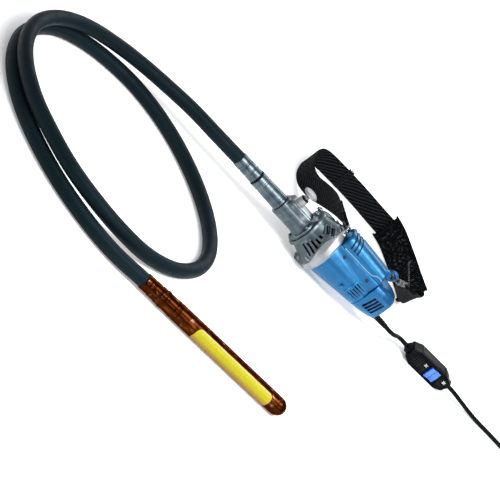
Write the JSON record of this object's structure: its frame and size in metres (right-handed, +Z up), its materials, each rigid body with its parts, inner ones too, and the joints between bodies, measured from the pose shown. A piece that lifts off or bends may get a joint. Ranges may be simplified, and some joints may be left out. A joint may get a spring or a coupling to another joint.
{
  "type": "concrete vibrator",
  "caption": "Portable electric concrete vibrator: motor unit with strap, looped flexible drive hose, steel poker head and mains lead with in-line switch.",
  "frame": {"origin": "a point on the underside of the flat rest foot, straight below the motor axis", "axes": "+Z up from the rest foot, +X along the motor axis from the drive hose towards the mains lead, +Y towards the side where the strap lies"},
  "size_m": [1.5491, 1.0294, 0.1347],
  "materials": {
    "cast_metal": "satin",
    "bright_steel": "polished",
    "blue_shell": "satin",
    "dark_plastic": "matte",
    "hose_rubber": "satin",
    "lead_rubber": "matte",
    "poker_steel": "polished, copper brown",
    "label_film": "gloss",
    "webbing": "woven",
    "pad_fabric": "rough pile",
    "black_steel": "satin",
    "zinc": "dull",
    "copper": "enamelled",
    "lamination": "stacked sheet",
    "carbon": "matte",
    "circuit": "matte",
    "rocker_blue": "gloss",
    "pin_metal": "nickel plated"
  },
  "bodies": {
    "motor_unit": {"fan_housing": "cast_metal", "drive_neck": "cast_metal", "neck_screws": "bright_steel", "housing_bolts": "bright_steel", "strap_bracket": "bright_steel", "lock_boss": "bright_steel", "lock_spring": "bright_steel", "hose_coupler": "bright_steel", "hose_ferrule": "bright_steel", "coupler_seal": "lead_rubber", "drive_hose": "hose_rubber", "flex_core": "bright_steel", "motor_housing": "blue_shell", "top_cover": "blue_shell", "rear_cover": "blue_shell", "cover_screws": "bright_steel", "bearing_bridge": "dark_plastic", "front_bearing": "bright_steel", "rear_bearing": "bright_steel", "stator_core": "lamination", "field_coils": "copper", "air_baffle": "dark_plastic", "brush_holders": "pin_metal", "carbon_brushes": "carbon", "control_module": "circuit", "poker_adapter": "poker_steel", "poker_sleeve": "poker_steel", "poker_tube": "poker_steel", "poker_tip": "poker_steel", "poker_label": "label_film", "poker_bearings": "bright_steel", "poker_seals": "lead_rubber", "strap_webbing": "webbing", "shoulder_pad": "pad_fabric", "strap_slider": "dark_plastic", "front_ring": "black_steel", "snap_hook": "zinc", "lead_grommet": "lead_rubber", "mains_lead": "lead_rubber", "supply_lead": "lead_rubber", "lead_coil": "lead_rubber", "coil_tail": "lead_rubber", "coil_tie": "dark_plastic", "switch_lower_shell": "dark_plastic", "switch_upper_shell": "dark_plastic", "switch_glands": "lead_rubber", "switch_contacts": "pin_metal", "plug_body": "lead_rubber", "plug_pins": "pin_metal"},
    "rotor": {"armature_shaft": "bright_steel", "armature_core": "lamination", "commutator": "copper", "cooling_fan": "dark_plastic", "drive_dog": "bright_steel"},
    "vibrator_rotor": {"eccentric_weight": "lamination"},
    "lock_plunger": {"lock_knob": "bright_steel", "lock_pin": "bright_steel"},
    "rocker": {"switch_rocker": "rocker_blue"},
    "gate": {"snap_gate": "zinc"}
  },
  "joints": [
    {"name": "rotor_spin", "type": "hinge", "parent": "motor_unit", "child": "rotor", "pos_m": [0, 0, 0.054], "axis": [1, 0, 0], "continuous": true},
    {"name": "eccentric_spin", "type": "hinge", "parent": "motor_unit", "child": "vibrator_rotor", "pos_m": [-0.12121, -0.58105, 0.018], "axis": [0.994, 0.1097, 0], "continuous": true},
    {"name": "lock_pull", "type": "slide", "parent": "motor_unit", "child": "lock_plunger", "axis": [0, 0, 1], "range_m": [0, 0.007], "stiffness_N_per_m": 1500, "springref_m": -0.004, "deforming": ["lock_spring"]},
    {"name": "switch_rock", "type": "hinge", "parent": "motor_unit", "child": "rocker", "pos_m": [0.38928, 0.05454, 0.02], "axis": [0, 0, 1], "range_deg": [-16, 0]},
    {"name": "gate_open", "type": "hinge", "parent": "motor_unit", "child": "gate", "pos_m": [0.16954, -0.00675, 0.123], "axis": [0, 0, -1], "range_deg": [0, 16], "stiffness_Nm_per_rad": 0.05, "springref_deg": -11.46}
  ],
  "couplings": [
    {"joint": "eccentric_spin", "follows": "rotor_spin", "ratio": -1}
  ]
}
